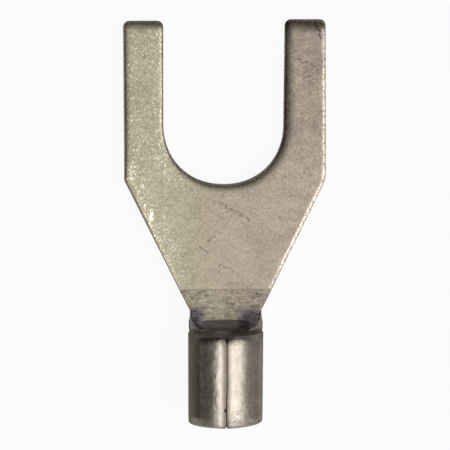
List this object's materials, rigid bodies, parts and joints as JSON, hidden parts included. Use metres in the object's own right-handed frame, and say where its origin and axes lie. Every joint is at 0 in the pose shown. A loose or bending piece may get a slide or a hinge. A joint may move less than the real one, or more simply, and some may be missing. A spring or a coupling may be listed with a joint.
{
  "type": "fork terminal",
  "caption": "Bare crimp fork terminal: flat forked tongue for a screw stud, tapering through a pressed neck to a rolled wire barrel with a butt seam.",
  "frame": {"origin": "centre of the stud slot's round end, on the tongue's underside", "axes": "+Y towards the tine tips, -Y towards the wire entry, +Z out of the side where the barrel's seam is"},
  "size_m": [0.011, 0.022, 0.0041],
  "materials": {
    "tinned_copper": "satin tin plating over copper"
  },
  "bodies": {
    "root": {"fork_terminal": "tinned_copper"}
  },
  "joints": []
}
